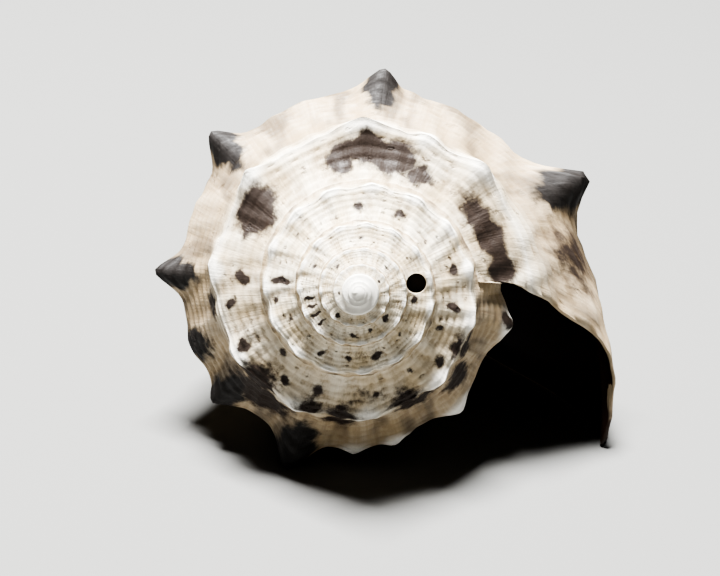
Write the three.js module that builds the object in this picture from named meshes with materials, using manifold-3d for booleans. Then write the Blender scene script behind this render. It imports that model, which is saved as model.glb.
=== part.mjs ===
// The dry, empty shell of a large knobbed sea snail, lying on its aperture.
// One grown piece: a tube that winds round an axis and widens by the same factor every turn.
// Millimetres, +Z up. The spire points to -Y, the siphonal tip to +Y, the open lip is on +X.
import * as THREE from "three";
import { mergeVertices } from "three/addons/utils/BufferGeometryUtils.js";
import Module from "manifold-3d";

// ---- growth ----
const EXPANSION = 1.57; // how much the tube widens in one turn
const TURNS = 6; // whorls from the apex to the lip
const LIP_START = -3; // angle at which the lip leaves the suture, degrees
const FIRST = LIP_START - 360 * TURNS; // angle of the first column
const COLUMNS_PER_TURN = 60;

// ---- the outline of the last whorl, from the suture down to the siphonal tip ----
// r and d: distance from the axis and depth below the apex, mm, where the angle is 0.
// lip: angle at which the lip ends on this row, degrees. flare: share of the lip's widening.
const ROWS = [
  { r: 19.11, d: 16.24, lip: -3, flare: 0 }, // suture
  { r: 22, d: 18.3, lip: -2.5, flare: 0 }, // ramp
  { r: 25.2, d: 19.6, lip: -1, flare: 0 },
  { r: 27.7, d: 20.6, lip: 1.5, flare: 0 }, // shoulder rim
  { r: 28.9, d: 22.6, lip: 4, flare: 0.2 },
  { r: 30, d: 25.5, lip: 8, flare: 0.38 }, // the next whorl covers all below this row
  { r: 31.8, d: 28.8, lip: 12.5, flare: 0.75 },
  { r: 33.6, d: 31.6, lip: 20, flare: 0.9 },
  { r: 35, d: 34.2, lip: 32.6, flare: 1 }, // the row of horns, the widest part
  { r: 35.2, d: 37.5, lip: 32, flare: 1 },
  { r: 33.8, d: 43, lip: 30.4, flare: 0.9 }, // base
  { r: 30.2, d: 50.5, lip: 29.6, flare: 0.75 },
  { r: 24, d: 59, lip: 30.3, flare: 0.5 },
  { r: 17, d: 67.5, lip: 31.4, flare: 0.3 }, // neck
  { r: 11.5, d: 76, lip: 28.2, flare: 0.15 },
  { r: 8, d: 85, lip: 17, flare: 0 }, // siphonal tip
];
const RIM = 3;
const COVER = 5;
const HORN = 8;
const LAST = ROWS.length - 1;
const TIP_DEPTH = 86; // end of the columella on the axis
const APEX_DEPTH = 13; // depth at which the first whorl closes in a dome
const APEX_AHEAD = 108; // degrees between the first column and the size of that dome
const FLARE = 0.34; // how much wider the lip is than steady growth would make it
const FLARE_ARC = 47; // degrees over which it widens
const SHEAR_ARC = 60; // degrees over which the columns lean towards the lip's own line
const FLARE_POWER = 1.7; // above 1 the widening is slow at first

// ---- tubercles: angle in degrees, height in mm and half width in degrees ----
const HORNS = [
  { at: -25, height: 7.2, half: 6 },
  { at: -83, height: 4.4, half: 5 },
  { at: -134, height: 5.4, half: 5.2 },
  { at: -176, height: 5.6, half: 5.2 },
  { at: -200, height: 1.8, half: 10 },
  { at: -219, height: 4.2, half: 6 },
  { at: -249, height: 8, half: 7 }, // the shell rests on this one
  { at: -269, height: 3, half: 6 },
  { at: -284, height: 2.6, half: 6 },
  { at: -310, height: 3.6, half: 8 },
  { at: -346, height: 4.6, half: 8 },
];
const SHOULDER_BUMPS = [
  { at: -43, height: 2.6, half: 7 },
  { at: -65, height: 1.5, half: 5 },
  { at: -88, height: 3, half: 9 },
  { at: -134, height: 3.2, half: 7 },
  { at: -173, height: 2, half: 7 },
  { at: -210, height: 1.5, half: 7 },
  { at: -243, height: 1.8, half: 8 },
  { at: -274, height: 2, half: 8 },
  { at: -312, height: 2, half: 8 },
  { at: -345, height: 1.6, half: 8 },
];
const HORN_ROWS = 1.3; // half width of a horn across the rows
const HORN_LIFT = 0.25; // how far a horn leans towards the spire, as a share of its height
const BUMP_ROWS = 1;
const BUMP_OUT = 0.8; // a shoulder bump stands both out and up, each by a share of its height
const BUMP_UP = 0.6;
const BEADS_FROM = -330; // beads take over from single bumps on the older whorls
const BEADS_FADE = 40; // degrees over which they do
const BEAD_HEIGHT = 0.63;
const BEAD_PITCH = 24; // degrees
const BEAD_ROWS = 0.9;
const OLD_KNOB_HEIGHT = 1.6;
const OLD_KNOB_PITCH = 40;
const WAVE_START = -10; // angle of one crest of both waves

// ---- the hollow ----
const WALL = 2.3;
const LIP_EDGE = 1.2; // wall thickness at the lip
const LIP_THINS = 25; // degrees over which it thins
const GLAZE = 0.5; // callus over the older whorl inside the mouth
const CAVITY_TURNS = 1.25;
const CAVITY_STEP = 12; // degrees
const CAVITY_END = 18; // degrees from the last ring back to the point where the hollow closes
const CAVITY_TOP = 2; // the hollow reaches up to this row of its own whorl
const PARIETAL_TOP = 7; // and up to this row of the whorl before it
const COLUMELLA = { r: 3.6, d: 82 }; // where the columella's wall meets the canal

// ---- the small round hole bored in the spire ----
const BORE = { at: -727, row: 1.2, radius: 1.75, taper: 0.8, depth: 2.8, sides: 16 };

// ---- how it lies: on a horn, the corner of the lip and the siphonal tip ----
const AXIS_TILT = 23.9; // the spire points up by this much, degrees
const ROLL = 3.95;

const radians = THREE.MathUtils.degToRad;
const smooth = (x) => THREE.MathUtils.smoothstep(x, 0, 1);
const bump = (x) => Math.exp(-(Math.abs(x) ** 1.6));
const growth = (angle) => EXPANSION ** (angle / 360);

// A smooth curve through one value of the rows; row may lie between two of them.
function along(key, row) {
  const x = THREE.MathUtils.clamp(row, 0, LAST);
  const i = Math.min(Math.floor(x), LAST - 1);
  const t = x - i;
  const b = ROWS[i][key];
  const c = ROWS[i + 1][key];
  const a = i > 0 ? ROWS[i - 1][key] : 2 * b - c;
  const e = i < LAST - 1 ? ROWS[i + 2][key] : 2 * c - b;
  const cubic = (3 * b - a - 3 * c + e) * t ** 3;
  return 0.5 * (2 * b + (c - a) * t + (2 * a - 5 * b + 4 * c - e) * t * t + cubic);
}

// The real angle of a column on a row: near the mouth the columns lean to the lip's line.
function angleOf(column, row) {
  const lean = smooth((column - LIP_START + SHEAR_ARC) / SHEAR_ARC);
  return column + lean * (along("lip", row) - LIP_START);
}

// Radius and depth of the plain wall, before its size at that angle is applied.
function section(column, row) {
  const open = THREE.MathUtils.clamp((column - LIP_START + FLARE_ARC) / FLARE_ARC, 0, 1);
  const widen = 1 + FLARE * open ** FLARE_POWER * along("flare", row);
  return { r: along("r", row) * widen, d: along("d", row) };
}

// Unit vector in the section plane, from the outer face towards the inside of the tube.
function inward(column, row) {
  const step = 0.05; // of a row
  const before = section(column, Math.max(row - step, 0));
  const after = section(column, Math.min(row + step, LAST));
  const n = new THREE.Vector2(before.d - after.d, after.r - before.r);
  return n.normalize();
}

// Horns, shoulder bumps and beads: how far they push the wall out, and how far up.
function relief(angle, row) {
  let out = 0;
  let up = 0;
  for (const horn of HORNS) {
    const h = horn.height * bump((angle - horn.at) / horn.half) * bump((row - HORN) / HORN_ROWS);
    out += h;
    up += HORN_LIFT * h;
  }
  for (const knob of SHOULDER_BUMPS) {
    const h = knob.height * bump((angle - knob.at) / knob.half) * bump((row - RIM) / BUMP_ROWS);
    out += BUMP_OUT * h;
    up += BUMP_UP * h;
  }
  const old = smooth((BEADS_FROM - angle) / BEADS_FADE);
  const wave = (pitch) => 0.5 + 0.5 * Math.cos((2 * Math.PI * (angle - WAVE_START)) / pitch);
  const bead = old * BEAD_HEIGHT * wave(BEAD_PITCH) * bump((row - RIM) / BEAD_ROWS);
  const knob = old * OLD_KNOB_HEIGHT * wave(OLD_KNOB_PITCH) * bump((row - HORN) / HORN_ROWS);
  return { out: out + bead + knob, up: up + bead };
}

// A point from its radius and depth, at an angle counted clockwise as seen from the spire.
function place(angle, r, d) {
  const g = growth(angle);
  const a = radians(angle);
  return new THREE.Vector3(r * g * Math.cos(a), d * g, -r * g * Math.sin(a));
}

function wallPoint(column, row) {
  const angle = angleOf(column, row);
  const { r, d } = section(column, row);
  const { out, up } = relief(angle, row);
  return place(angle, r + out, d - up);
}

// Outside of the shell. A whorl starts on the whorl before it, so its first row follows that one.
function outside(column, row) {
  const point = wallPoint(column, row);
  if (row >= 1 || column - 360 < FIRST) {
    return point;
  }
  const shift = wallPoint(column - 360, COVER).sub(wallPoint(column, 0));
  return point.addScaledVector(shift, 1 - smooth(row));
}

// Inside of the outer wall.
function inside(column, row) {
  const { r, d } = section(column, row);
  const n = inward(column, row);
  const wall = WALL + (LIP_EDGE - WALL) * smooth((column - LIP_START + LIP_THINS) / LIP_THINS);
  return place(angleOf(column, row), r + wall * n.x, d + wall * n.y);
}

// Wall of the older whorl where it lies inside the tube, under its glaze.
function parietal(column, row) {
  const older = column - 360;
  const n = inward(older, row);
  const a = radians(angleOf(older, row));
  const outwards = new THREE.Vector3(-n.x * Math.cos(a), -n.y, n.x * Math.sin(a));
  return outside(older, row).addScaledVector(outwards, GLAZE);
}

const points = [];
const triangles = [];
const addPoint = (p) => points.push(p) - 1;
const addTriangle = (a, b, c) => triangles.push([a, b, c]);
const addQuad = (a, b, c, d) => {
  addTriangle(a, b, c);
  addTriangle(a, c, d);
};

// Outer skin: columns by rows. Older whorls show only down to the row that is covered.
function buildSkin() {
  const count = TURNS * COLUMNS_PER_TURN;
  const grid = [];
  const depthOf = (i) => (i >= count - COLUMNS_PER_TURN ? LAST : COVER);
  for (let i = 0; i <= count; i += 1) {
    const column = FIRST + (i * 360) / COLUMNS_PER_TURN;
    const ids = [];
    for (let row = 0; row <= depthOf(i); row += 1) {
      const welded = row === 0 && i >= COLUMNS_PER_TURN;
      ids.push(welded ? grid[i - COLUMNS_PER_TURN][COVER] : addPoint(outside(column, row)));
    }
    grid.push(ids);
  }
  for (let i = 0; i < count; i += 1) {
    for (let row = 0; row < depthOf(i); row += 1) {
      addQuad(grid[i][row], grid[i + 1][row], grid[i + 1][row + 1], grid[i][row + 1]);
    }
  }
  const apex = addPoint(new THREE.Vector3(0, APEX_DEPTH * growth(FIRST + APEX_AHEAD), 0));
  for (let i = 0; i < COLUMNS_PER_TURN; i += 1) {
    addTriangle(grid[i + 1][0], grid[i][0], apex);
  }
  for (let row = 0; row < COVER; row += 1) {
    addTriangle(grid[0][row], grid[0][row + 1], apex);
  }
  const tip = addPoint(new THREE.Vector3(0, TIP_DEPTH, 0));
  for (let i = count - COLUMNS_PER_TURN; i < count; i += 1) {
    addTriangle(grid[i][LAST], grid[i + 1][LAST], tip);
  }
  // Edge of the mouth: down the lip, round the tip, back up the older whorl.
  const start = grid[count - COLUMNS_PER_TURN];
  return [...grid[count], tip, ...start.slice(COVER + 1).reverse()];
}

// Hollow: closed rings of points, from the mouth back round the axis, then a rounded end.
function buildHollow() {
  const steps = Math.round((CAVITY_TURNS * 360) / CAVITY_STEP);
  const rings = [];
  for (let k = 0; k <= steps; k += 1) {
    const column = LIP_START - k * CAVITY_STEP;
    const ring = [];
    for (let row = CAVITY_TOP; row <= LAST; row += 1) {
      ring.push(addPoint(inside(column, row)));
    }
    ring.push(addPoint(place(column, COLUMELLA.r, COLUMELLA.d)));
    for (let row = LAST; row >= PARIETAL_TOP; row -= 1) {
      ring.push(addPoint(parietal(column, row)));
    }
    rings.push(ring);
  }
  const size = rings[0].length;
  for (let k = 0; k < steps; k += 1) {
    for (let j = 0; j < size; j += 1) {
      const next = (j + 1) % size;
      addTriangle(rings[k][j], rings[k + 1][next], rings[k][next]);
      addTriangle(rings[k][j], rings[k + 1][j], rings[k + 1][next]);
    }
  }
  const end = new THREE.Vector3();
  rings[steps].forEach((id) => end.addScaledVector(points[id], 1 / size));
  end.applyAxisAngle(new THREE.Vector3(0, 1, 0), radians(-CAVITY_END));
  end.multiplyScalar(growth(-CAVITY_END));
  const cap = addPoint(end);
  for (let j = 0; j < size; j += 1) {
    addTriangle(rings[steps][j], cap, rings[steps][(j + 1) % size]);
  }
  return rings[0];
}

// The lip's edge: a strip from the outer edge of the mouth to the first ring of the hollow.
function buildEdge(outer, ring) {
  const rowsInside = LAST + 1 - CAVITY_TOP;
  const partner = (k) => {
    if (k <= LAST) {
      return Math.max(0, k - CAVITY_TOP);
    }
    return Math.min(rowsInside + k - LAST - 1, ring.length - 1);
  };
  for (let k = 0; k < outer.length; k += 1) {
    const closing = k === outer.length - 1;
    const next = closing ? outer[0] : outer[k + 1];
    const from = partner(k);
    const to = closing ? ring.length : partner(k + 1);
    addTriangle(outer[k], ring[from], next);
    if (to !== from) {
      addTriangle(next, ring[from], ring[to % ring.length]);
    }
  }
}

const wasm = await Module();
wasm.setup();

function toSolid(geometry) {
  const mesh = new wasm.Mesh({
    numProp: 3,
    vertProperties: new Float32Array(geometry.attributes.position.array),
    triVerts: new Uint32Array(geometry.index.array),
  });
  return new wasm.Manifold(mesh);
}

function toGeometry(solid) {
  const mesh = solid.getMesh();
  const geometry = new THREE.BufferGeometry();
  geometry.setAttribute("position", new THREE.BufferAttribute(mesh.vertProperties, 3));
  geometry.setIndex(new THREE.BufferAttribute(mesh.triVerts, 1));
  return geometry;
}

function buildBore() {
  const mouth = outside(BORE.at, BORE.row);
  const length = 2 * BORE.depth;
  const drill = new THREE.CylinderGeometry(BORE.radius, BORE.radius * BORE.taper, length, BORE.sides);
  drill.deleteAttribute("normal");
  drill.deleteAttribute("uv");
  drill.rotateX(Math.PI);
  drill.translate(mouth.x, mouth.y, mouth.z);
  return mergeVertices(drill);
}

buildEdge(buildSkin(), buildHollow());
const body = new THREE.BufferGeometry();
body.setAttribute("position", new THREE.Float32BufferAttribute(points.flatMap((p) => p.toArray()), 3));
body.setIndex(triangles.flat());

const shellGeometry = toGeometry(toSolid(body).subtract(toSolid(buildBore())));
shellGeometry.rotateY(radians(-ROLL));
shellGeometry.rotateX(radians(-AXIS_TILT));
shellGeometry.computeBoundingBox();
const box = shellGeometry.boundingBox;
shellGeometry.translate(-(box.min.x + box.max.x) / 2, -(box.min.y + box.max.y) / 2, -box.min.z);
shellGeometry.computeVertexNormals();

const chalk = new THREE.MeshStandardMaterial({ color: "#cfc4ae", roughness: 0.6, metalness: 0 });
const shell = new THREE.Mesh(shellGeometry, chalk);
shell.name = "shell";

const part = new THREE.Group();
part.add(shell);
export default part;
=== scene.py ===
# %% [markdown]
# # A knobbed sea snail shell
# The imported CAD model comes first. It fixes where the shell lies and how large it is.
# Its box is kept.

# %% Load the frame
import math

import bpy
import numpy as np
from mathutils import Matrix, Vector


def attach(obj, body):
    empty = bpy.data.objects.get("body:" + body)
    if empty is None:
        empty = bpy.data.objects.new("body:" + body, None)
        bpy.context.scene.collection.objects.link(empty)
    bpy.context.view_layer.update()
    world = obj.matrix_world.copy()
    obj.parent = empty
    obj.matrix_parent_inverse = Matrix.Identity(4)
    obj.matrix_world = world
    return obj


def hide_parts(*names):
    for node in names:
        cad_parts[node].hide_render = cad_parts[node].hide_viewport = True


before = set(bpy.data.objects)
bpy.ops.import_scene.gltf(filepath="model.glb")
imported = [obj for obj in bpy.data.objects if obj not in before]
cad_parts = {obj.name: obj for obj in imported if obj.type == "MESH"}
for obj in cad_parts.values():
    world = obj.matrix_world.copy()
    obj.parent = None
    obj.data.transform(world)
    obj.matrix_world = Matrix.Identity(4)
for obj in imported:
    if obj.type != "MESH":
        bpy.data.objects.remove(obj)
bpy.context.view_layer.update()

MM = 0.001

# %% [markdown]
# ## How a snail builds its shell
# A snail adds shell only at the lip, and it keeps its proportions while it grows. So the tube
# widens by the same factor in every turn. One outline and that factor give the whole shell.
# It could be sculpted by hand, but a growth law gives every whorl its right place and size.

# %% The growth law
EXPANSION = 1.57  # how much the tube widens in one turn
LIP_START = -3.0  # angle at which the lip leaves the suture, degrees
CAD_TURNS = 6  # whorls of the CAD model
TURNS = 7.5  # whorls of this finer one
FIRST = LIP_START - 360 * TURNS  # angle of the first column


def growth(angle):
    """Size at an angle in degrees, as a share of the size where the angle is 0."""
    return EXPANSION ** (angle / 360)


print("size of the first whorl against the last:", round(float(growth(FIRST)), 4))

# %% [markdown]
# ## The outline of the last whorl
# Each row has a distance from the axis and a depth below the point that the whorls shrink
# towards, in millimetres. It also has the angle at which the outer lip ends there, and its
# share of the lip's flare. Sixteen rows are enough, because a smooth curve runs through them.

# %% The outline
OUTLINE = np.array([
    # radius, depth, lip angle, flare share
    (19.11, 16.24, -3.0, 0.0),   # suture, where the whorl joins the one before
    (22.0, 18.3, -2.5, 0.0),     # ramp
    (25.2, 19.6, -1.0, 0.0),
    (27.7, 20.6, 1.5, 0.0),      # shoulder rim
    (28.9, 22.6, 4.0, 0.2),
    (30.0, 25.5, 8.0, 0.38),     # the next whorl covers what is below this row
    (31.8, 28.8, 12.5, 0.75),
    (33.6, 31.6, 20.0, 0.9),
    (35.0, 34.2, 32.6, 1.0),     # the row of horns
    (35.2, 37.5, 32.0, 1.0),
    (33.8, 43.0, 30.4, 0.9),     # base
    (30.2, 50.5, 29.6, 0.75),
    (24.0, 59.0, 30.3, 0.5),
    (17.0, 67.5, 31.4, 0.3),     # neck
    (11.5, 76.0, 28.2, 0.15),
    (8.0, 85.0, 17.0, 0.0),      # siphonal tip
])
RIM = 3  # rows by name
COVER = 5
HORN = 8
LAST = len(OUTLINE) - 1
RADIUS, DEPTH, LIP, FLARE_SHARE = range(4)  # columns by name
TIP_DEPTH = 86.0  # end of the siphonal tip on the axis
APEX_DEPTH = 13  # depth at which the first whorl closes in a dome
APEX_AHEAD = 108  # degrees between the first column and the size of that dome


def along(key, row):
    """A smooth curve through one column of the outline; row may lie between two rows."""
    table = OUTLINE[:, key]
    x = np.clip(row, 0, LAST)
    i = np.minimum(x.astype(int), LAST - 1)
    t = x - i
    b = table[i]
    c = table[i + 1]
    a = np.where(i > 0, table[np.maximum(i - 1, 0)], 2 * b - c)
    e = np.where(i < LAST - 1, table[np.minimum(i + 2, LAST)], 2 * c - b)
    cubic = (3 * b - a - 3 * c + e) * t ** 3
    return 0.5 * (2 * b + (c - a) * t + (2 * a - 5 * b + 4 * c - e) * t * t + cubic)


def smooth(x):
    """0 below 0, 1 above 1 and an S-shaped step between."""
    x = np.clip(x, 0, 1)
    return x * x * (3 - 2 * x)


def bump(x):
    """A rounded peak, 1 at 0 and almost 0 beyond 2."""
    return np.exp(-np.abs(x) ** 1.6)


axis_length = TIP_DEPTH - APEX_DEPTH * growth(LIP_START - 360 * CAD_TURNS + APEX_AHEAD)
print("rows:", LAST + 1, "length of the CAD model on its axis:", round(axis_length, 1), "mm")

# %% [markdown]
# ## The flared lip
# A grown snail turns its lip outwards, and the lip's edge doesn't run straight down: it leans
# back at the shoulder and forward at the horns. Near the mouth the columns of the mesh lean
# over to that line, so that the last column is the edge itself.

# %% The wall near the lip
FLARE = 0.34  # how much wider the lip is than steady growth would make it
FLARE_ARC = 47.0  # degrees over which it widens
FLARE_POWER = 1.7  # above 1 the widening is slow at first
SHEAR_ARC = 60.0  # degrees over which the columns lean towards the lip's own line
ROW_STEP = 0.05  # share of a row, on each side, over which a slope is measured


def angle_of(column, row):
    """The real angle of a column on a row."""
    lean = smooth((column - LIP_START + SHEAR_ARC) / SHEAR_ARC)
    return column + lean * (along(LIP, row) - LIP_START)


def section(column, row):
    """Radius and depth of the plain wall, before its size at that angle is applied."""
    opening = np.clip((column - LIP_START + FLARE_ARC) / FLARE_ARC, 0, 1)
    widen = 1 + FLARE * opening ** FLARE_POWER * along(FLARE_SHARE, row)
    return along(RADIUS, row) * widen, along(DEPTH, row)


def inward(column, row):
    """Unit vector in the section plane, from the outer face to the inside of the tube."""
    r0, d0 = section(column, np.maximum(row - ROW_STEP, 0))
    r1, d1 = section(column, np.minimum(row + ROW_STEP, LAST))
    length = np.hypot(r1 - r0, d1 - d0)
    return (d0 - d1) / length, (r1 - r0) / length


print("the lip flares by", round(100 * FLARE), "percent at the row of horns")

# %% [markdown]
# ## Horns, shoulder bumps and beads
# At two rows the edge of the snail's mantle folds again and again, and each fold leaves a knob.
# The lower row grew into pointed horns, and the shell rests on one of them. The upper row are
# blunt bumps on the shoulder rim, and small even beads on the older whorls. The single knobs
# are a short list, because a real snail spaces them unevenly; the beads are a wave.

# %% Tubercles
HORNS = [
    # angle, height in mm, half width in degrees
    (-25, 7.2, 6), (-83, 4.4, 5), (-134, 5.4, 5.2), (-176, 5.6, 5.2), (-200, 1.8, 10),
    (-219, 4.2, 6), (-249, 8.0, 7), (-269, 3.0, 6), (-284, 2.6, 6), (-310, 3.6, 8),
    (-346, 4.6, 8),
]
SHOULDER_BUMPS = [
    (-43, 2.6, 7), (-65, 1.5, 5), (-88, 3.0, 9), (-134, 3.2, 7), (-173, 2.0, 7),
    (-210, 1.5, 7), (-243, 1.8, 8), (-274, 2.0, 8), (-312, 2.0, 8), (-345, 1.6, 8),
]
HORN_ROWS = 1.3  # half width of a horn across the rows
HORN_LIFT = 0.25  # how far a horn leans towards the spire, as a share of its height
BUMP_OUT = 0.8  # a shoulder bump stands both out and up
BUMP_UP = 0.6
BEADS_FROM = -330  # beads take over from single bumps on the older whorls
BEADS_FADE = 40  # degrees over which they do
BEAD_HEIGHT = 1.3
BEAD_SHARE = 0.7  # a bead stands out and up by this share of its height
BEAD_PITCH = 24  # degrees
BEAD_ROWS = 0.9
OLD_KNOB_HEIGHT = 1.6
OLD_KNOB_PITCH = 40
WAVE_START = 10  # one crest of every wave lies at minus this angle
SMOOTH_UNTIL = -1800  # the very first whorls are smooth
SMOOTH_FADE = 350


def wave(angle, pitch):
    """Even swells of height 0 to 1, one for each pitch in degrees."""
    return 0.5 + 0.5 * np.cos(2 * math.pi * (angle + WAVE_START) / pitch)


def tubercles(angle, row):
    """How far the knobs push the wall out, and how far up towards the spire, in mm."""
    out = np.zeros_like(angle)
    up = np.zeros_like(angle)
    for at, height, half in HORNS:
        h = height * bump((angle - at) / half) * bump((row - HORN) / HORN_ROWS)
        out += h
        up += HORN_LIFT * h
    for at, height, half in SHOULDER_BUMPS:
        h = height * bump((angle - at) / half) * bump(row - RIM)
        out += BUMP_OUT * h
        up += BUMP_UP * h
    old = smooth((BEADS_FROM - angle) / BEADS_FADE)
    old = old * smooth((angle - SMOOTH_UNTIL) / SMOOTH_FADE)
    bead = old * BEAD_HEIGHT * wave(angle, BEAD_PITCH) * bump((row - RIM) / BEAD_ROWS)
    knob = old * OLD_KNOB_HEIGHT * wave(angle, OLD_KNOB_PITCH) * bump((row - HORN) / HORN_ROWS)
    return out + BEAD_SHARE * bead + knob, up + BEAD_SHARE * bead


print("horns:", len(HORNS), "shoulder bumps:", len(SHOULDER_BUMPS))

# %% [markdown]
# ## Spiral cords and growth folds
# Fine raised cords run along the whorls, and low folds mark where growth paused. Both are cut
# down from the plain wall, never added to it, so the shell stays inside its measured size.
# They are real geometry, because light that skims the shell shows them in outline.

# %% Cords and folds
CORDS_PER_ROW = 2
CORD_DEPTH = 0.42  # mm
CORD_ROUNDNESS = 0.7  # below 1 the cords are broad and the grooves narrow
CORD_WOBBLE = 0.12  # share of a cord by which it strays up and down
THREAD_PITCH = 8.0  # degrees between the growth threads that cross the cords
THREAD_SHARE = 0.45  # how deep they cut a cord
THREAD_SWAY = 0.3  # how far a thread strays, as a share of its pitch
THREAD_LEAN = 0.15  # and how far it slants for each row
FOLD_DEPTH = 0.35  # mm
FOLD_LEAN = 2.5  # degrees by which a fold slants for each row
rng = np.random.default_rng(7)
FOLD_WAVES = [(rng.uniform(9, 34), rng.uniform(0, 360), rng.uniform(0.3, 1)) for _ in range(7)]


def fine_relief(angle, row):
    """Depth in mm of the grooves between cords and of the growth folds."""
    wobble = CORD_WOBBLE * np.sin(np.radians(angle * 3 + row * 40))
    ridge = 0.5 + 0.5 * np.cos(2 * math.pi * (row * CORDS_PER_ROW + wobble))
    sway = THREAD_SWAY * np.sin(np.radians(angle * 5)) + THREAD_LEAN * row
    thread = 0.5 + 0.5 * np.cos(2 * math.pi * (angle / THREAD_PITCH + sway))
    groove = CORD_DEPTH * (1 - ridge ** CORD_ROUNDNESS * (1 - THREAD_SHARE * (1 - thread)))
    fold = np.zeros_like(angle)
    for pitch, start, share in FOLD_WAVES:
        fold += share * np.sin(2 * math.pi * (angle + start + FOLD_LEAN * row) / pitch)
    fold = FOLD_DEPTH * (0.5 + 0.5 * np.tanh(fold))
    return smooth((angle - SMOOTH_UNTIL) / SMOOTH_FADE) * (groove + fold)


print("spiral cords from suture to tip:", LAST * CORDS_PER_ROW)

# %% [markdown]
# ## Points of the wall
# The skin is a grid: a column for each angle and a row for each place on the outline. A whorl
# starts on the whorl before it, so the first row of a column follows the covered row of the
# column one turn back, and the two share their vertices there.

# %% The outer wall
def place(angle, r, d):
    """Points in mm around an axis along +Y, with the spire towards -Y."""
    g = growth(angle)
    a = np.radians(angle)
    return np.stack([r * g * np.cos(a), d * g, -r * g * np.sin(a)], -1)


def wall_point(column, row):
    """The wall with its knobs and its fine relief, wherever it lies."""
    angle = angle_of(column, row)
    r, d = section(column, row)
    out, up = tubercles(angle, row)
    nr, nd = inward(column, row)
    cut = fine_relief(angle, row)
    return place(angle, r + out + cut * nr, d - up + cut * nd)


def outside(column, row):
    """The outer face; the first row of a whorl lies on the whorl before it."""
    column, row = np.broadcast_arrays(np.asarray(column, float), np.asarray(row, float))
    point = wall_point(column, row)
    near = (row < 1) & (column - 360 >= FIRST - 1e-6)
    c, q = column[near], row[near]
    shift = wall_point(c - 360, np.full_like(c, COVER)) - wall_point(c, np.zeros_like(c))
    point[near] += shift * (1 - smooth(q))[:, None]
    return point


horn_line = outside(np.arange(-360, LIP_START), HORN)
reach = np.hypot(horn_line[:, 0], horn_line[:, 2]).max()
print("the row of horns reaches", round(float(reach), 1), "mm from the axis")

# %% [markdown]
# ## The inner wall
# The wall is thinnest at the lip, where it is newest, so the inner face is the outer outline,
# moved inwards by the thickness of the wall. Where the tube runs past the older whorl, the snail
# only adds a thin smooth glaze to it.

# %% The inner wall
WALL = 2.3  # mm
LIP_EDGE = 1.2  # mm
LIP_THINS = 25  # degrees over which the wall thins to the lip
GLAZE = 0.5  # mm


def inside(column, row):
    """The inner face of the outer wall."""
    r, d = section(column, row)
    nr, nd = inward(column, row)
    wall = WALL + (LIP_EDGE - WALL) * smooth((column - LIP_START + LIP_THINS) / LIP_THINS)
    return place(angle_of(column, row), r + wall * nr, d + wall * nd)


def parietal(column, row):
    """The older whorl where it lies inside the tube, under a thin glaze."""
    older = column - 360
    nr, nd = inward(older, row)
    a = np.radians(angle_of(older, row))
    outwards = np.stack([-nr * np.cos(a), -nd, nr * np.sin(a)], -1)
    r, d = section(older, row)
    out, up = tubercles(angle_of(older, row), row)
    plain = place(angle_of(older, row), r + out, d - up)
    return plain + GLAZE * outwards


print("wall:", WALL, "mm, thinning to", LIP_EDGE, "mm at the lip")

# %% [markdown]
# ## The skin
# Older whorls need only the rows that show. The last turn has all rows, down to the siphonal
# tip. A finer grid would cost triangles, so the rows are closer only below the covered row.

# %% Rows and columns of the skin
COLUMNS = 240  # in a turn
UPPER_STEPS = 6  # grid rows for each row of the outline
LOWER_STEPS = 9
upper = np.arange(COVER * UPPER_STEPS) / UPPER_STEPS
lower = COVER + np.arange((LAST - COVER) * LOWER_STEPS + 1) / LOWER_STEPS
ROWS = np.concatenate([upper, lower])
COVERED = COVER * UPPER_STEPS
BOTTOM = len(ROWS) - 1
COUNT = int(TURNS * COLUMNS)
column_angles = FIRST + np.arange(COUNT + 1) * 360 / COLUMNS
print("columns:", COUNT + 1, "rows:", len(ROWS))

# %% [markdown]
# ## Points and faces of the skin
# Each corner also keeps its turn and row, and colour patterns are drawn along those two
# directions, as a snail lays its pigment. Points are added a column at a time. The faces then
# join neighbours, and the suture needs no join, because its vertices are shared.

# %% The skin
points = []
faces = []
corner_places = []


def add_points(xyz):
    """Adds points and returns their numbers."""
    first = sum(len(p) for p in points)
    points.append(np.asarray(xyz, float).reshape(-1, 3))
    return first + np.arange(len(points[-1]))


def add_faces(corners, places):
    """Adds faces as rows of vertex numbers, with (turn, row) for each corner."""
    faces.extend(map(tuple, np.asarray(corners).tolist()))
    corner_places.append(np.asarray(places, float).reshape(-1, 2))


grid = np.full((COUNT + 1, BOTTOM + 1), -1)
for i, column in enumerate(column_angles):
    last_row = BOTTOM if i >= COUNT - COLUMNS else COVERED
    start = 0
    if i >= COLUMNS:
        grid[i, 0] = grid[i - COLUMNS, COVERED]
        start = 1
    rows = ROWS[start:last_row + 1]
    grid[i, start:last_row + 1] = add_points(outside(np.full_like(rows, column), rows))
print("skin points:", sum(len(p) for p in points))


def grid_faces(columns, rows):
    """Four-cornered faces of the skin for a range of columns and rows."""
    i, j = (x.ravel() for x in np.meshgrid(columns, rows, indexing="ij"))
    corners = [(i, j), (i + 1, j), (i + 1, j + 1), (i, j + 1)]
    numbers = np.stack([grid[a, b] for a, b in corners], -1)
    places = np.stack([np.stack([column_angles[a] / 360, ROWS[b]], -1) for a, b in corners], 1)
    add_faces(numbers, places)


grid_faces(np.arange(COUNT), np.arange(COVERED))
grid_faces(np.arange(COUNT - COLUMNS, COUNT), np.arange(COVERED, BOTTOM))
print("skin faces:", len(faces))

# %% [markdown]
# ## Closing the two ends
# The first whorl closes in a small dome, and the last row closes round the columella, the
# pillar that the whorls wind about. A fan of triangles is enough for both, because both ends
# are small.

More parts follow.
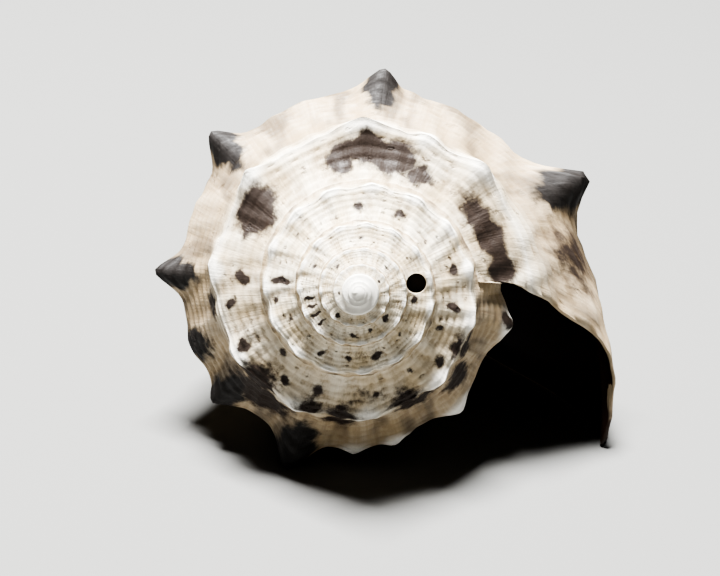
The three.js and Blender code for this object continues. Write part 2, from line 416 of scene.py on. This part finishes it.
# %% Apex and tip
apex = add_points([[0, APEX_DEPTH * growth(FIRST + APEX_AHEAD), 0]])[0]
ring = list(grid[:COLUMNS + 1, 0][::-1]) + list(grid[0, 1:COVERED])
fan = [(ring[k], ring[(k + 1) % len(ring)], apex) for k in range(len(ring))]
add_faces(fan, [(FIRST / 360, 0)] * (3 * len(fan)))

tip = add_points([[0, TIP_DEPTH, 0]])[0]
edge = grid[COUNT - COLUMNS:, BOTTOM]
fan = [(edge[k], edge[k + 1], tip) for k in range(COLUMNS)]
LIP_TURN = LIP_START / 360
add_faces(fan, [(LIP_TURN, LAST)] * (3 * len(fan)))
print("faces round the apex and the tip:", len(ring), len(fan))

# %% [markdown]
# ## The hollow
# Inside, the tube is smooth. Its section is a ring of points: down the inner face of the outer
# wall, across the canal, and back up the older whorl. The ring winds back from the mouth and
# shrinks as it goes, out of sight, where it closes.

# %% The hollow
HOLLOW_COLUMNS = 64  # in a turn
HOLLOW_TURNS = 1.25
HOLLOW_TOP = 2  # the hollow reaches up to this row of its own whorl
PARIETAL_TOP = 7  # and up to this row of the whorl before it
COLUMELLA = (3.6, 82.0)  # radius and depth where the pillar's wall meets the canal, mm
CLOSING_COLUMNS = 1.5  # from the last ring to the point where the hollow closes
wall_rows = ROWS[ROWS >= HOLLOW_TOP - 1e-9]
older_rows = ROWS[ROWS >= PARIETAL_TOP - 1e-9][::-1]
rings = []
for k in range(int(HOLLOW_COLUMNS * HOLLOW_TURNS) + 1):
    column = LIP_START - k * 360 / HOLLOW_COLUMNS
    pillar = place(np.array([column]), *COLUMELLA)
    outer_wall = inside(np.full_like(wall_rows, column), wall_rows)
    older_wall = parietal(np.full_like(older_rows, column), older_rows)
    rings.append(add_points(np.concatenate([outer_wall, pillar, older_wall])))
ring_rows = np.concatenate([wall_rows, [LAST], older_rows])
size = len(ring_rows)
j = np.arange(size)
n = (j + 1) % size
corner_rows = ring_rows[np.stack([j, j, n, n], -1)].ravel()
for k in range(len(rings) - 1):
    turn = (LIP_START - k * 360 / HOLLOW_COLUMNS) / 360
    numbers = np.stack([rings[k][j], rings[k + 1][j], rings[k + 1][n], rings[k][n]], -1)
    add_faces(numbers, np.stack([np.full_like(corner_rows, turn), corner_rows], -1))

back_angle = -CLOSING_COLUMNS * 360 / HOLLOW_COLUMNS
all_points = np.concatenate(points)
middle = all_points[rings[-1]].mean(0) * growth(back_angle)
middle = Matrix.Rotation(math.radians(back_angle), 3, "Y") @ Vector(middle)
end = add_points([middle])[0]
last_ring = rings[-1]
fan = [(last_ring[k], end, last_ring[(k + 1) % size]) for k in range(size)]
add_faces(fan, [(LIP_TURN - HOLLOW_TURNS, HORN)] * (3 * len(fan)))
print("ring points:", size, "rings:", len(rings))

# %% [markdown]
# ## The lip's edge
# The snail laid down this edge last, and it is rounded, not cut. It joins the skin to the
# hollow. A middle line, pushed a little forward, is enough to round it. A bevel could do the
# same, but here the points on both sides are already known.

# %% The rounded lip
ROUNDING = 0.35  # mm
outer_edge = np.concatenate([grid[COUNT], [tip], grid[COUNT - COLUMNS, COVERED + 1:][::-1]])
outer_rows = np.concatenate([ROWS, [LAST], ROWS[COVERED + 1:][::-1]])
in_ring = HOLLOW_TOP * UPPER_STEPS
partner = np.maximum(np.arange(len(outer_edge)) - in_ring, 0)
partner = np.minimum(partner, size - 1)
all_points = np.concatenate(points)
edge_points = all_points[outer_edge]
ring_points = all_points[rings[0][partner]]
forward = np.zeros_like(edge_points)
lip_count = BOTTOM + 1
a = np.radians(angle_of(np.full_like(ROWS, LIP_START), ROWS))
forward[:lip_count] = np.stack([-np.sin(a), np.zeros_like(a), -np.cos(a)], -1)
swell = ROUNDING * smooth((outer_rows - 1) / 3)
between = (edge_points + ring_points) / 2 + forward * swell[:, None]
middle_edge = add_points(between)
for k in range(len(outer_edge)):
    n = (k + 1) % len(outer_edge)
    place_k = (LIP_TURN, outer_rows[k])
    place_n = (LIP_TURN, outer_rows[n])
    add_faces([(outer_edge[k], middle_edge[k], middle_edge[n], outer_edge[n])],
              [place_k, place_k, place_n, place_n])
    first, second = rings[0][partner[k]], rings[0][partner[n]]
    if first != second:
        add_faces([(middle_edge[k], first, second, middle_edge[n])],
                  [place_k, place_k, place_n, place_n])
    else:
        add_faces([(middle_edge[k], first, middle_edge[n])], [place_k, place_k, place_n])
print("faces:", len(faces))

# %% [markdown]
# ## Into the frame
# The shell is turned as it lies and moved so that its spire meets the spire of the CAD model.
# The CAD facets fan out from two points, the apex and the siphonal tip, so these are the two
# points where most corners meet. The apex is the one towards -Y.

# %% Turn and place
AXIS_TILT = 23.9  # the spire points up by this much, degrees
ROLL = 3.95
turned = (Matrix.Rotation(math.radians(-AXIS_TILT), 4, "X")
          @ Matrix.Rotation(math.radians(-ROLL), 4, "Y"))
cad_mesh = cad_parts["shell"].data
cad_corners = np.array([cad_mesh.vertices[loop.vertex_index].co for loop in cad_mesh.loops])
meeting, how_many = np.unique(cad_corners.round(7), axis=0, return_counts=True)
hubs = meeting[np.argsort(-how_many)[:2]]
cad_apex = hubs[hubs[:, 1].argmin()]
print("corners that meet at the two hubs:", sorted(how_many)[-2:])
rotation = np.array(turned.to_3x3())
apex_growth = growth(LIP_START - 360 * CAD_TURNS + APEX_AHEAD)
local_apex = np.array([0, APEX_DEPTH * apex_growth, 0])
offset = cad_apex - rotation @ local_apex * MM
xyz = np.concatenate(points) @ rotation.T * MM + offset
print("lowest point of the shell:", round(float(xyz[:, 2].min()) / MM, 3), "mm")

# %% [markdown]
# ## The mesh
# Numpy holds the points, and one call hands them to Blender. The UV map named growth keeps the
# turn and the row of every corner, which the materials read.

# %% Make the mesh
shell_mesh = bpy.data.meshes.new("sea_snail_shell")
shell_mesh.from_pydata(xyz.tolist(), [], [tuple(int(v) for v in f) for f in faces])
growth_map = shell_mesh.uv_layers.new(name="growth")
corner_values = np.concatenate(corner_places).astype(np.float32)
growth_map.uv.foreach_set("vector", corner_values.ravel())
shell_mesh.validate()
shell_mesh.update()
shell = bpy.data.objects.new("sea_snail_shell", shell_mesh)
bpy.context.scene.collection.objects.link(shell)
shell_mesh.polygons.foreach_set("use_smooth", np.ones(len(shell_mesh.polygons), bool))
triangles = sum(len(p.vertices) - 2 for p in shell_mesh.polygons)
print("triangles:", triangles)

# %% [markdown]
# ## Where each colour goes
# Pigment follows the surface, so each kind of mark is worked out from angle and row and kept as
# a number on the vertices. The large brown blotches and the dark spots on the ramps are a short
# list. They could be painted, but a list keeps each mark where growth put it.
# Some blotches on the underside of the last whorl, as it rests, are partly pigment and partly
# painted shade, and one on the lip's edge is painted shade.

# %% Listed marks
BLOTCHES_AND_SHADE = [
    # angle, row, half width in degrees, half width in rows, strength
    (-98, 1.3, 6, 0.8, 1.3), (-87, 1.7, 11, 0.6, 1.4), (-74, 1.4, 9, 0.9, 1.4),
    (-61, 0.9, 7, 0.6, 1.0), (-87, 1.1, 6, 0.7, 0.6), (-143, 1.5, 11, 1.1, 1.4),
    (-222, 3.2, 12, 1.8, 0.9),
    (-248, 2.6, 9, 1.0, 0.7), (-262, 2.9, 9, 1.0, 0.9), (-293, 2.9, 9, 1.2, 0.9),
    (-205, 1.6, 14, 1.4, 0.4), (-190, 1.0, 7, 0.8, 0.25), (-275, 1.5, 20, 1.2, 0.4),
    (-330, 2.8, 10, 1.0, 0.7), (-580, 1.6, 18, 1.2, 0.35), (-632, 1.2, 30, 1.0, 0.35),
    # The blotches on rows 4 to 6 from -187 to -332 degrees sit on the underside as the shell
    # rests: partly brown pigment, partly painted shade.
    (-24, 1.3, 20, 0.8, 1.0), (-8, 1.4, 9, 0.8, 1.0), (-228, 5.4, 16, 1.6, 1.0),
    (-300, 4.2, 13, 1.0, 1.1), (-318, 5.9, 8, 1.0, 1.0), (-262, 4.6, 9, 1.0, 0.9),
    (-332, 4.4, 8, 0.8, 1.0), (-347, 7.6, 3.0, 0.5, 1.2), (-187, 4.4, 8, 0.8, 0.8),
    (-245, 9.8, 14, 1.6, 0.9), (-285, 10.6, 12, 1.4, 0.8), (-325, 11.2, 12, 1.4, 0.8),
    (-110, 9.5, 9, 1.2, 0.8), (-55, 10.5, 12, 1.2, 0.8), (-150, 11.5, 10, 1.2, 0.8),
    (-195, 10.0, 11, 1.4, 0.8), (-20, 12.0, 12, 1.2, 0.8), (-7, 6.2, 14, 1.8, 0.62),
    # Painted shade on the lip's edge.
    (30, 9.0, 9, 1.6, 1.3),
]
SPOTS = [
    # angle, row, half width in degrees, half width in rows, strength
    (-175, 1.2, 4, 0.4, 1.0), (-187, 2.1, 3, 0.6, 0.9), (-198, 1.2, 2.5, 0.3, 0.6),
    (-207, 2.1, 4, 0.55, 1.0), (-220, 0.5, 3.5, 0.4, 0.8), (-232, 1.8, 3, 0.4, 1.1),
    (-240, 0.8, 2, 0.3, 0.6), (-248, 1.3, 3.5, 0.5, 0.9), (-266, 1.9, 2.5, 0.3, 0.6),
    (-281, 1.5, 4, 0.3, 0.7), (-303, 1.1, 2.5, 0.4, 0.7), (-318, 2.0, 4, 0.4, 0.9),
    (-334, 0.8, 3, 0.5, 0.8), (-349, 1.4, 3, 0.5, 1.0), (-371, 1.7, 4, 0.35, 1.2),
    (-396, 0.8, 2.5, 0.3, 0.6), (-421, 1.2, 5, 0.4, 0.9), (-449, 1.2, 4.5, 0.5, 0.9),
    (-467, 0.7, 2, 0.3, 0.5), (-498, 1.5, 3, 0.3, 0.6), (-533, 1.4, 2.6, 1.0, 1.3),
    (-547, 2.1, 3, 0.4, 0.9), (-563, 1.2, 3, 0.4, 0.7), (-583, 0.9, 2.5, 0.3, 0.6),
    (-600, 1.6, 3, 0.4, 0.8), (-622, 1.4, 4, 0.5, 0.8), (-646, 1.5, 6, 0.4, 1.0),
    (-674, 1.0, 3, 0.3, 0.6), (-711, 0.8, 5, 0.5, 1.0), (-752, 1.6, 3, 0.3, 0.6),
    (-806, 1.2, 4, 0.4, 0.7), (-870, 1.3, 4, 0.5, 0.7), (-908, 1.6, 2.2, 1.0, 1.1),
    (-918, 1.5, 2.2, 1.0, 1.1), (-929, 1.5, 2.2, 1.0, 1.0), (-940, 1.7, 2.2, 0.9, 1.0),
    (-983, 1.4, 5, 0.5, 0.9),
    (-1007, 1.0, 4, 0.5, 0.9), (-1036, 0.8, 6, 0.6, 1.2), (-1120, 1.3, 5, 0.4, 0.7),
    (-1210, 1.2, 5, 0.5, 0.8), (-1309, 1.8, 6, 0.6, 1.0), (-1466, 1.0, 6, 0.5, 0.9),
    (-1622, 1.1, 6, 0.5, 1.0),
]
print("blotches:", len(BLOTCHES_AND_SHADE), "spots:", len(SPOTS))

# %% [markdown]
# ## Where each vertex grew
# The turn and row of every corner come back from the mesh, so each vertex knows its place on
# the shell. The mouth's edge counts as half inside, so the glaze fades in over it.

# %% The place of each vertex
corner_vertex = np.zeros(len(shell_mesh.loops), int)
shell_mesh.loops.foreach_get("vertex_index", corner_vertex)
corner_place = np.zeros(2 * len(shell_mesh.loops), np.float32)
shell_mesh.uv_layers["growth"].uv.foreach_get("vector", corner_place)
vertex_place = np.zeros((len(xyz), 2))
vertex_place[corner_vertex] = corner_place.reshape(-1, 2)
vertex_row = vertex_place[:, 1]
vertex_angle = angle_of(vertex_place[:, 0] * 360, vertex_row)

is_inside = np.zeros(len(xyz))
is_inside[rings[0][0]:] = 1
is_inside[middle_edge] = 0.5
print("vertices:", len(xyz), "of them inside:", int((is_inside == 1).sum()))

# %% [markdown]
# ## Stains, painted shade and horn tips
# Every mark is a soft round patch that fades at its edge. Small waves move the places first, so
# that no patch is a perfect oval. The youngest horns have dark tips, and older ones are pale.

# %% Stains, painted shade and horn tips
STRAY_ANGLE = 0.8  # degrees
STRAY_ROW = 0.1
PALE_HORNS_FROM = -255  # horns older than this angle are pale
TIP_ABOVE = 0.6  # rows by which the dark tip lies above the middle of the horn
TIP_ROWS = 1.8
TIP_STRENGTH = 1.5
FULL_TIP_HEIGHT = 3  # mm; lower horns are less dark
stray_angle = vertex_angle + STRAY_ANGLE * np.sin(vertex_row * 5.1 + np.radians(vertex_angle * 7))
stray_row = vertex_row + STRAY_ROW * np.sin(np.radians(vertex_angle * 23) + vertex_row * 3.3)
stain_and_shade = np.zeros(len(xyz))
# Brown stain, and painted shade where the list puts it on the underside and the lip's edge.
for at, row, half, half_rows, strength in BLOTCHES_AND_SHADE + SPOTS:
    near = bump((stray_angle - at) / half) * bump((stray_row - row) / half_rows)
    stain_and_shade = np.maximum(stain_and_shade, strength * near)

horn_tip = np.zeros(len(xyz))
for at, height, half in HORNS:
    near = bump((stray_angle - at) / half) * bump((stray_row - HORN + TIP_ABOVE) / TIP_ROWS)
    if at > PALE_HORNS_FROM:
        dark = TIP_STRENGTH * near * smooth(height / FULL_TIP_HEIGHT)
        horn_tip = np.maximum(horn_tip, dark)
print("vertices with some stain:", int((stain_and_shade > 0.1).sum()))

# %% [markdown]
# ## Pale crests
# Sand and waves wear the highest places white: the shoulder rim, the bumps and the first
# whorls. They are worked out from the same lists as the knobs, so the two always agree.

# %% Pale crests
RIM_CREST = 0.45  # how pale the rim is between its bumps
RIM_ROWS = 0.8
CREST_ROWS = 0.9
HORN_CREST = 0.9
APEX_CREST = 0.8
crest = RIM_CREST * bump((vertex_row - RIM) / RIM_ROWS)
for at, height, half in SHOULDER_BUMPS:
    near = bump((vertex_angle - at) / half) * bump((vertex_row - RIM) / CREST_ROWS)
    crest = np.maximum(crest, near)
for at, height, half in HORNS:
    near = bump((vertex_angle - at) / half) * bump((vertex_row - HORN) / CREST_ROWS)
    if at < PALE_HORNS_FROM:
        crest = np.maximum(crest, HORN_CREST * near)
old_rim = smooth((BEADS_FROM - vertex_angle) / BEADS_FADE) * wave(vertex_angle, BEAD_PITCH)
first_whorls = smooth((SMOOTH_UNTIL + SMOOTH_FADE - vertex_angle) / SMOOTH_FADE)
crest = np.maximum(crest, old_rim * bump((vertex_row - RIM) / RIM_ROWS))
crest = np.maximum(crest, APEX_CREST * first_whorls)
print("vertices on worn crests:", int((crest > 0.5).sum()))

# %% [markdown]
# ## Store the marks
# Five numbers are stored on each vertex: the glossy inside, stain and painted shade, horn tips,
# pale crests, and the depth of the grooves, which the material darkens as painted shade. A
# material reads each by its name.

# %% Store the marks
# Depth of the grooves; the material darkens them with painted shade.
groove = fine_relief(vertex_angle, vertex_row) / (CORD_DEPTH + FOLD_DEPTH)


def store(mesh, name, values):
    """Keeps one number for each vertex under a name that materials can read."""
    attribute = mesh.attributes.new(name, "FLOAT", "POINT")
    attribute.data.foreach_set("value", np.asarray(values, np.float32))
    print(name, "from", round(float(values.min()), 2), "to", round(float(values.max()), 2))


MARKS = {"inside": is_inside, "stain_and_shade": stain_and_shade, "horn": horn_tip, "crest": crest, "groove": groove}
for name, values in MARKS.items():
    store(shell_mesh, name, values)

# %% [markdown]
# ## A hole bored in the spire
# Another animal bored a small round hole here. A tapered pin is taken away with a boolean, as
# a drill would cut it. The pin carries full stain, so the walls that it leaves are dark: painted
# shade inside the hole. Edges sharper than 55 degrees stay crisp, so the hole's rim doesn't look
# melted.

# %% The bored hole
BORE_ANGLE = -727
BORE_ROW = 1.2
BORE_RADIUS = 1.75  # mm
BORE_TAPER = 0.8  # width at the bottom against the top
BORE_DEPTH = 2.8  # mm
BORE_SIDES = 48
SHARP_ANGLE = 55
bore_mouth = outside(np.array([BORE_ANGLE]), np.array([BORE_ROW]))[0]
bpy.ops.mesh.primitive_cone_add(vertices=BORE_SIDES, radius1=BORE_TAPER * BORE_RADIUS * MM,
                                radius2=BORE_RADIUS * MM, depth=2 * BORE_DEPTH * MM)
pin = bpy.context.object
pin.data.transform(Matrix.Rotation(math.radians(90), 4, "X"))
pin.data.transform(Matrix.Translation(Vector(bore_mouth) * MM))
pin.data.transform(Matrix.Translation(Vector(offset)) @ turned)
# The pin's walls get full stain: painted shade inside the hole.
for name in MARKS:
    store(pin.data, name, np.full(len(pin.data.vertices), float(name == "stain_and_shade")))
cut = shell.modifiers.new("bored hole", "BOOLEAN")
cut.operation = "DIFFERENCE"
cut.solver = "MANIFOLD"
cut.object = pin
bpy.context.view_layer.update()
evaluated = shell.evaluated_get(bpy.context.evaluated_depsgraph_get())
drilled = bpy.data.meshes.new_from_object(evaluated)
print("faces before and after the hole:", len(shell_mesh.polygons), len(drilled.polygons))
shell.modifiers.clear()
shell.data = drilled
drilled.set_sharp_from_angle(angle=math.radians(SHARP_ANGLE))
bpy.data.objects.remove(pin)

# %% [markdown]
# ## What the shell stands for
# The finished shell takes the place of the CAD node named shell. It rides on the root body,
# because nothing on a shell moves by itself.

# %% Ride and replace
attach(shell, "root")
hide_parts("shell")
print("the finished shell has", len(drilled.vertices), "vertices")

# %% [markdown]
# ## Material helpers
# Colours are written as the hex values that a paint chart would give, and turned to the linear
# values that the renderer counts in. One small function adds a node and its links.

# %% Colours and nodes
def linear(hex_colour):
    """A hex colour as linear red, green and blue, and full alpha."""
    parts = [int(hex_colour[i:i + 2], 16) / 255 for i in (1, 3, 5)]
    return [p / 12.92 if p <= 0.04045 else ((p + 0.055) / 1.055) ** 2.4 for p in parts] + [1.0]


def add(tree, kind, settings, inputs):
    """Adds a node. Each input is a value, or the output of another node, which it is linked to."""
    node = tree.nodes.new(kind)
    for name, value in settings.items():
        setattr(node, name, value)
    for name, value in inputs.items():
        if isinstance(value, bpy.types.NodeSocket):
            tree.links.new(value, node.inputs[name])
        else:
            node.inputs[name].default_value = value
    return node


def new_tree(name):
    """A new material with an empty node tree."""
    material = bpy.data.materials.new(name)
    material.use_nodes = True
    material.node_tree.nodes.clear()
    return material, material.node_tree


print("middle grey in linear light:", round(linear("#808080")[0], 3))

# %% [markdown]
# ## Patterns that grew with the shell
# The pattern coordinates are the turn and the row, counted in millimetres of the last whorl. So
# a growth line runs from suture to siphon, and each pattern shrinks with the older whorls. Small
# dots come from a pattern of cells, because the cells that make pigment sit side by side along
# the edge of the mantle.

# %% Patterns
TURN_LENGTH = 2 * math.pi * 25  # mm round the last whorl
ROW_LENGTH = 3.4  # mm from one row to the next
NOISE = "ShaderNodeTexNoise"
PATTERNS = {
    # width along the turn and length along the row in mm, kind of node, its own numbers
    "lines": (0.6, 14, NOISE, {"Detail": 3, "Roughness": 0.55}),
    "flames": (5.0, 16, NOISE, {"Detail": 2, "Roughness": 0.55}),
    "blots": (1.6, 1.6, NOISE, {"Detail": 4, "Roughness": 0.65}),
    "grain": (0.35, 0.35, NOISE, {"Detail": 2, "Roughness": 0.55}),
    "clouds": (9, 9, NOISE, {"Detail": 2, "Roughness": 0.55}),
    "cells": (3.4, 1.7, "ShaderNodeTexVoronoi", {"Randomness": 0.75}),
}
chalk, tree = new_tree("aragonite_shell")
growth_uv = add(tree, "ShaderNodeUVMap", {"uv_map": "growth"}, {}).outputs["UV"]
values = {}
for name, (width, long, kind, own_numbers) in PATTERNS.items():
    scale = (TURN_LENGTH / width, ROW_LENGTH / long, 1)
    space = add(tree, "ShaderNodeMapping", {}, {"Vector": growth_uv, "Scale": scale})
    inputs = {"Vector": space.outputs["Vector"], "Scale": 1.0, **own_numbers}
    values[name] = add(tree, kind, {}, inputs).outputs[0]
print("patterns:", ", ".join(values))

# %% [markdown]
# ## Places and marks
# The material also reads the turn and the row themselves, and the five marks that are kept on
# the vertices. All of them go into one dictionary, by name.

# %% Places and marks
position = add(tree, "ShaderNodeSeparateXYZ", {}, {"Vector": growth_uv})
values["turn"] = position.outputs["X"]
values["row"] = position.outputs["Y"]
for name in MARKS:
    settings = {"attribute_name": name, "attribute_type": "GEOMETRY"}
    values[name] = add(tree, "ShaderNodeAttribute", settings, {}).outputs["Fac"]
print("values to build on:", len(values))

# %% [markdown]
# ## From patterns to shares
# A smooth step turns a pattern into a patch: it says where the patch starts, where it is full,
# and what it is worth before and after. Products keep a pattern to one part of the shell. They
# could be wired one by one, but as a list they can be read from top to bottom.

# %% Shares
LINE_HEIGHT = 0.10  # mm
GRAIN_HEIGHT = 0.05
PIT_HEIGHT = 0.12
WORN_SMOOTH = 0.55  # roughness of the dull outside, from
WORN_ROUGH = 0.8  # and to
STEP_INPUTS = ("Value", "From Min", "From Max", "To Min", "To Max")
SHARES = {
    # STEP: value, start, end, result before, result after. Others: arithmetic on values
    "below the suture": ("STEP", "row", 0.2, 0.7, 0.0, 1.0),
    "above the rim": ("STEP", "row", 2.2, 2.9, 1.0, 0.0),
    "on the ramp": ("MULTIPLY", "below the suture", "above the rim"),
    "on the body": ("STEP", "row", 3.3, 4.8, 0.0, 1.0),
    "tan clouds": ("STEP", "clouds", 0.35, 0.7, 0.0, 1.0),
    "tan lines": ("STEP", "lines", 0.5, 0.72, 0.0, 0.4),
    # Painted shade in the grooves, stronger in some places than in others.
    "groove shade amount": ("STEP", "blots", 0.3, 0.7, 0.35, 0.95),
    "groove shade": ("MULTIPLY", "groove", "groove shade amount"),
    "dot shape": ("STEP", "cells", 0.14, 0.34, 1.0, 0.0),
    "dotted": ("STEP", "blots", 0.42, 0.62, 0.0, 1.0),
    "dots": ("MULTIPLY", "dot shape", "dotted"),
    "dots on the ramp": ("MULTIPLY", "dots", "on the ramp"),
    "brown dots": ("MULTIPLY", "dots on the ramp", 0.75),
    "fawn last turn": ("STEP", "turn", -1.12, -0.8, 0.0, 0.22),
    "between lines": ("STEP", "lines", 0.2, 0.8, 0.85, 0.45),
    "fawn body": ("MULTIPLY", "on the body", "between lines"),
    "flame shape": ("STEP", "flames", 0.46, 0.64, 0.0, 1.0),
    "flames on the body": ("MULTIPLY", "flame shape", "on the body"),
    "brown flames": ("MULTIPLY", "flames on the body", 0.6),
    "uneven wear": ("MULTIPLY", "blots", 0.3),
    "wear": ("ADD", "crest", "uneven wear"),
    "worn white": ("STEP", "wear", 0.38, 0.85, 0.0, 1.0),
    "ragged": ("MULTIPLY_ADD", "blots", 0.7, -0.35),
    # Stain and painted shade: brown blotches, partly painted shade on the underside, the lip's
    # edge and inside the bored hole.
    "ragged blotches and shade": ("ADD", "stain_and_shade", "ragged"),
    "brown blotches and shade": ("STEP", "ragged blotches and shade", 0.2, 0.6, 0.0, 1.0),
    "ragged horn": ("ADD", "horn", "ragged"),
    "dark horn": ("STEP", "ragged horn", 0.35, 0.75, 0.0, 1.0),
    # Inside the mouth: a smooth glaze, and dark brown painted shade.
    "glazed and shaded inside": ("STEP", "inside", 0.5, 0.9, 0.0, 1.0),
    "dull": ("STEP", "blots", 0.3, 0.7, WORN_SMOOTH, WORN_ROUGH),
    "line height": ("MULTIPLY", "lines", LINE_HEIGHT),
    "grain height": ("MULTIPLY", "grain", GRAIN_HEIGHT),
    "raised": ("ADD", "line height", "grain height"),
    "pits": ("MULTIPLY", "dots", PIT_HEIGHT),
    "pitted": ("SUBTRACT", "raised", "pits"),
    "outside only": ("STEP", "inside", 0.2, 0.9, 1.0, 0.0),
    "height": ("MULTIPLY", "pitted", "outside only"),
}
for name, (operation, *parts) in SHARES.items():
    parts = [values[part] if isinstance(part, str) else part for part in parts]
    if operation == "STEP":
        settings = {"interpolation_type": "SMOOTHSTEP"}
        node = add(tree, "ShaderNodeMapRange", settings, dict(zip(STEP_INPUTS, parts)))
    else:
        node = add(tree, "ShaderNodeMath", {"operation": operation}, dict(enumerate(parts)))
    values[name] = node.outputs[0]
print("shares worked out:", len(SHARES))

# %% [markdown]
# ## The colours of the shell
# The shell is chalky ivory. The grooves are darkened with painted shade, and worn crests are
# almost white. Brown flames, blotches and dots lie over that, with ragged edges that a noise gives
# them; a few blotches are partly or wholly painted shade. The inside of the mouth is painted dark
# brown as shade. Each layer covers what is under it by its share, as coats of thin paint would.

# %% Colour
IVORY = "#f2ead8"
TAN = "#d8c7a6"
WHITE = "#f6f2e8"
FAWN = "#a38d6e"
# Painted shade for the grooves.
GROOVE_SHADE = "#8a7658"
BROWN = "#2b1e14"
BLACK_BROWN = "#17110d"
# Dark brown painted shade for the inside of the mouth.
INSIDE_SHADE_BROWN = "#2a1a12"
LAYERS = [
    ("tan clouds", TAN), ("tan lines", TAN), ("groove shade", GROOVE_SHADE), ("brown dots", BROWN),
    ("fawn last turn", FAWN), ("fawn body", FAWN), ("brown flames", BROWN),
    ("worn white", WHITE), ("brown blotches and shade", BROWN), ("dark horn", BLACK_BROWN),
    ("glazed and shaded inside", INSIDE_SHADE_BROWN),
]
colour = linear(IVORY)
for share, layer in LAYERS:
    inputs = {0: values[share], 6: colour, 7: linear(layer)}  # 6 and 7 are the two colours
    colour = add(tree, "ShaderNodeMix", {"data_type": "RGBA"}, inputs).outputs[2]
print("layers of colour:", len(LAYERS))

# %% [markdown]
# ## Roughness and fine bumps
# Weathered aragonite is dull, and the glaze inside the mouth is smooth. The fine lines, the
# grain and the pits are too small for geometry, so a bump node tilts the surface for them.

# %% Surface
SHELL_IOR = 1.53
GLAZED = 0.28  # roughness inside the mouth
rough = add(tree, "ShaderNodeMix", {"data_type": "FLOAT"},
            {0: values["glazed and shaded inside"], 2: values["dull"], 3: GLAZED}).outputs[0]
bumps = add(tree, "ShaderNodeBump", {},
            {"Strength": 1.0, "Distance": MM, "Height": values["height"]})
surface = add(tree, "ShaderNodeBsdfPrincipled", {},
              {"Base Color": colour, "Roughness": rough, "IOR": SHELL_IOR,
               "Normal": bumps.outputs["Normal"]})
add(tree, "ShaderNodeOutputMaterial", {}, {"Surface": surface.outputs["BSDF"]})
shell.data.materials.clear()
shell.data.materials.append(chalk)
print("nodes in the shell's material:", len(tree.nodes))

# %% [markdown]
# ## The floor
# A plain matt sheet. It is a mid grey in itself, and the strong light makes it look pale, so it
# throws little light back up under the shell.

# %% Floor
FLOOR_SIZE = 3.0  # m
PAPER = "#7c7c7a"
bpy.ops.mesh.primitive_plane_add(size=FLOOR_SIZE)
floor = bpy.context.object
floor.name = "floor"
paper, paper_tree = new_tree("matt_paper")
sheet = add(paper_tree, "ShaderNodeBsdfPrincipled", {},
            {"Base Color": linear(PAPER), "Roughness": 0.95, "IOR": 1.45})
add(paper_tree, "ShaderNodeOutputMaterial", {}, {"Surface": sheet.outputs["BSDF"]})
floor.data.materials.append(paper)
print("floor:", FLOOR_SIZE, "m wide")

# %% [markdown]
# ## The light
# One wide soft light hangs over the shell, a little behind it and to the left. The room itself
# is dim, so the hollow and the underside stay dark. A view with high contrast deepens those
# shadows and keeps the ivory pale.

# %% Light
ROOM_STRENGTH = 0.02
SOFTBOX_POWER = 38  # W
SOFTBOX_SIZE = 0.24  # m
SOFTBOX_PLACE = (-0.10, 0.07, 0.8)
AIM_PLACE = (0, 0, 0.02)
scene = bpy.context.scene
world = bpy.data.worlds.new("room")
world.use_nodes = True
world.node_tree.nodes["Background"].inputs["Color"].default_value = (1, 1, 1, 1)
world.node_tree.nodes["Background"].inputs["Strength"].default_value = ROOM_STRENGTH
scene.world = world
softbox = bpy.data.lights.new("softbox", "AREA")
softbox.shape = "RECTANGLE"
softbox.size = SOFTBOX_SIZE
softbox.size_y = SOFTBOX_SIZE
softbox.energy = SOFTBOX_POWER
lamp = bpy.data.objects.new("softbox", softbox)
lamp.location = SOFTBOX_PLACE
aim = Vector(AIM_PLACE) - lamp.location
lamp.rotation_euler = aim.to_track_quat("-Z", "Y").to_euler()
scene.collection.objects.link(lamp)
scene.view_settings.look = "AgX - High Contrast"
print("light:", SOFTBOX_POWER, "W,", round(aim.length, 2), "m away")

# %% [markdown]
# ## The camera
# The camera looks almost straight along the axis of the shell, from the side of the spire. It
# is set by angles from that axis, and a long lens keeps the whorls in their true proportions.
# A slight shift of the lens frames the shell without turning the camera.

# %% Camera
CAMERA_DISTANCE = 390  # mm
LENS = 130  # mm
SENSOR = 36  # mm
OFF_AXIS_RIGHT = -0.5  # degrees
OFF_AXIS_DOWN = -2.7
IMAGE_WIDTH = 720
SHIFT_RIGHT = 1.5 / IMAGE_WIDTH
SHIFT_UP = 5.0 / IMAGE_WIDTH
camera_data = bpy.data.cameras.new("camera")
camera_data.sensor_width = SENSOR
camera_data.lens = LENS
camera_data.clip_start = 0.01
camera_data.shift_x = SHIFT_RIGHT
camera_data.shift_y = SHIFT_UP
camera = bpy.data.objects.new("camera", camera_data)
scene.collection.objects.link(camera)
sideways = -math.tan(math.radians(OFF_AXIS_RIGHT))
downwards = math.tan(math.radians(OFF_AXIS_DOWN))
view = Vector(rotation @ np.array([sideways, 1, downwards])).normalized()
right = view.cross(Vector(rotation @ np.array([0, 0, 1.0]))).normalized()
axes = Matrix([right, right.cross(view), -view]).transposed().to_4x4()
stand = Vector(offset) - view * CAMERA_DISTANCE * MM
camera.matrix_world = Matrix.Translation(stand) @ axes
scene.camera = camera
print("the camera looks down by", round(math.degrees(math.asin(-view.z)), 1), "degrees")
